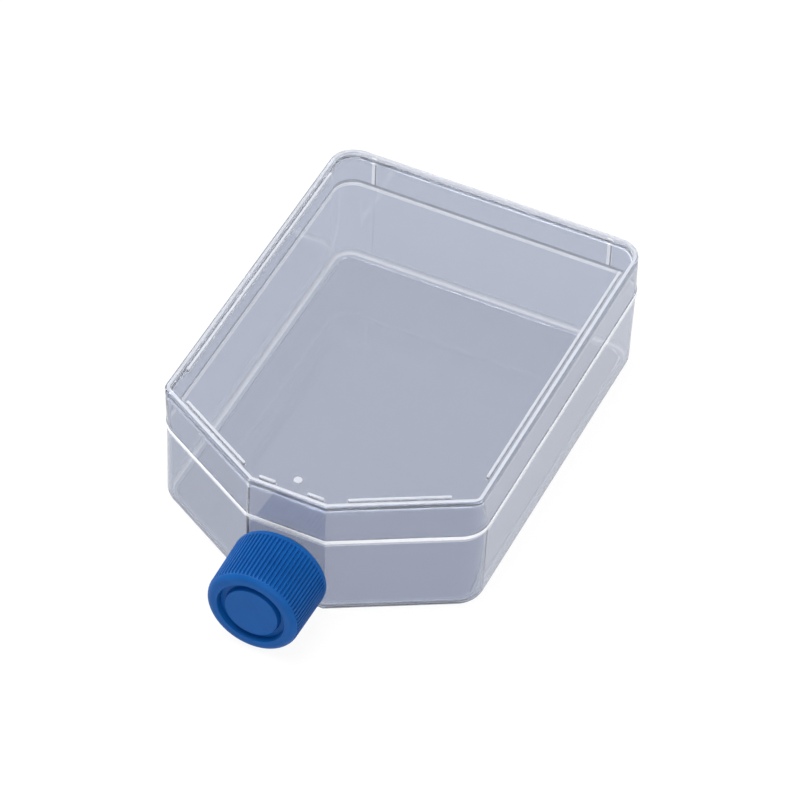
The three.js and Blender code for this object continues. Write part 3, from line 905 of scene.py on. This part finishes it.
body = clear_body()
for finish in (  # in the order of the material slots
    # painted shade: grey-blue tints for the darker surroundings seen through the plastic, darkest
    # on the floor pane and lightest on the roof
    clear_plastic("clear_walls", (0.35, 0.385, 0.487)),
    clear_plastic("clear_roof", (0.535, 0.563, 0.64)),
    clear_plastic("clear_floor", (0.245, 0.265, 0.36)),
    # untinted clear finish, for the inner faces and for painted highlights
    clear_plastic("clear_inside_and_highlights", NO_TINT),
    # white, nearly opaque seam finish: painted highlight of the seam
    hazy_plastic("seam_highlight_polystyrene", (0.96, 0.97, 1.0), roughness=0.5, transmission=0.12),
    # matt finish whose pale colour paints the highlight lines of rim, bars and gate
    hazy_plastic("matt_highlight_polystyrene", (0.7, 0.72, 0.78), roughness=0.35, transmission=0.45),
    # white frosted finish: painted highlight lines on the rim's inner wall and the floor fillet
    hazy_plastic("frosted_highlight_polystyrene", (0.98, 0.98, 0.99), roughness=0.8, transmission=1.0),
    # untinted bead finish: painted highlight of the seam seen from inside
    clear_plastic("clear_bead_highlight", NO_TINT, roughness=0.12),
):
    body.data.materials.append(finish)
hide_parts("lower_shell", "upper_shell")
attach(body, "flask")

cap = screw_cap()
cap.data.materials.append(blue_plastic())
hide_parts("screw_cap")
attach(cap, "cap")

# ------------------------------------------------------------------ camera, in metres

SENSOR_WIDTH = 36
LENS = 209.1
CLIP_END = 10
CAMERA_PLACE = (0.3073, -0.7092, 0.7897)
CAMERA_RIGHT = Vector((0.90499, 0.42384, 0.03668))
CAMERA_FORWARD = Vector((-0.27743, 0.65334, -0.70440))

camera_data = bpy.data.cameras.new("camera")
camera_data.sensor_width = SENSOR_WIDTH
camera_data.lens = LENS
camera_data.clip_end = CLIP_END
camera = bpy.data.objects.new("camera", camera_data)
up = CAMERA_RIGHT.cross(CAMERA_FORWARD)
turn = Matrix((CAMERA_RIGHT, up, -CAMERA_FORWARD)).transposed()
camera.matrix_world = Matrix.Translation(CAMERA_PLACE) @ turn.to_4x4()
bpy.context.scene.collection.objects.link(camera)
bpy.context.scene.camera = camera

# ------------------------------------------------------------------ floor and light

STAGE_HALF = 3.0
STAGE_DROP = 0.0002
STAGE_ROUGHNESS = 0.9
STAGE_GLOW = 0.92
STAGE_LIT = (0.8, 0.8, 0.8, 1)  # for light that the floor sends back
STAGE_SEEN = (0.1, 0.1, 0.1, 1)  # under its glow, where the background is seen
SKY = (0.95, 0.97, 1.0, 1)
SKY_LIT = 0.25
SKY_SEEN = 1.0
MAX_BOUNCES = 40
CLEAR_BOUNCES = 32
SOFTBOXES = [  # name, place, target, size, watts
    ("overhead", (-0.15, -0.1, 1.0), (0, 0, 0), (0.9, 0.7), 9),
    ("left", (-1.0, 0.1, 0.5), (0, 0, 0), (0.3, 0.9), 6),
    ("right", (1.0, 0.1, 0.45), (0, 0, 0), (0.3, 0.9), 3),
    ("back", (0.2, 1.1, 0.35), (0, 0, 0.02), (1.2, 0.25), 6),
    ("front", (0.3, -1.2, 0.4), (0, 0, 0.02), (0.9, 0.4), 4.4),
]


def background_share(tree):
    """1 where the background is seen: by the camera, in gloss, or through the plastic."""
    path = tree.nodes.new("ShaderNodeLightPath")
    share = path.outputs["Is Camera Ray"]
    for name in ("Is Glossy Ray", "Is Transmission Ray"):
        both = tree.nodes.new("ShaderNodeMath")
        both.operation = "MAXIMUM"
        tree.links.new(share, both.inputs[0])
        tree.links.new(path.outputs[name], both.inputs[1])
        share = both.outputs[0]
    return share


def white_floor():
    mesh = bpy.data.meshes.new("floor")
    r, z = STAGE_HALF, -STAGE_DROP
    mesh.from_pydata([(-r, -r, z), (r, -r, z), (r, r, z), (-r, r, z)], [], [(0, 1, 2, 3)])
    piece = bpy.data.objects.new("floor", mesh)
    bpy.context.scene.collection.objects.link(piece)
    m = bpy.data.materials.new("floor_white")
    m.use_nodes = True
    tree = m.node_tree
    shader = tree.nodes["Principled BSDF"]
    shader.inputs["Roughness"].default_value = STAGE_ROUGHNESS
    shader.inputs["Specular IOR Level"].default_value = 0.0
    shader.inputs["Emission Color"].default_value = (1, 1, 1, 1)
    share = background_share(tree)
    glow = tree.nodes.new("ShaderNodeMath")
    glow.operation = "MULTIPLY"
    glow.inputs[1].default_value = STAGE_GLOW
    tree.links.new(share, glow.inputs[0])
    tree.links.new(glow.outputs[0], shader.inputs["Emission Strength"])
    paint = tree.nodes.new("ShaderNodeMix")
    paint.data_type = "RGBA"
    paint.inputs["A"].default_value = STAGE_LIT
    paint.inputs["B"].default_value = STAGE_SEEN
    tree.links.new(share, paint.inputs["Factor"])
    tree.links.new(paint.outputs["Result"], shader.inputs["Base Color"])
    piece.data.materials.append(m)


def studio_world():
    world = bpy.data.worlds.new("studio")
    world.use_nodes = True
    tree = world.node_tree
    back = tree.nodes["Background"]
    back.inputs["Color"].default_value = SKY
    scale = tree.nodes.new("ShaderNodeMapRange")
    scale.inputs["To Min"].default_value = SKY_LIT
    scale.inputs["To Max"].default_value = SKY_SEEN
    tree.links.new(background_share(tree), scale.inputs["Value"])
    tree.links.new(scale.outputs["Result"], back.inputs["Strength"])
    bpy.context.scene.world = world


def softbox(name, place, target, size, power):
    data = bpy.data.lights.new(name, "AREA")
    data.shape = "RECTANGLE"
    data.size, data.size_y = size
    data.energy = power
    lamp = bpy.data.objects.new(name, data)
    lamp.location = place
    aim = Vector(target) - Vector(place)
    lamp.rotation_euler = aim.to_track_quat("-Z", "Y").to_euler()
    bpy.context.scene.collection.objects.link(lamp)


white_floor()
studio_world()
for box in SOFTBOXES:
    softbox(*box)
bpy.context.scene.view_settings.view_transform = "Standard"
paths = bpy.context.scene.cycles  # light runs far along clear walls before it leaves them
paths.max_bounces = MAX_BOUNCES
paths.glossy_bounces = CLEAR_BOUNCES
paths.transmission_bounces = CLEAR_BOUNCES
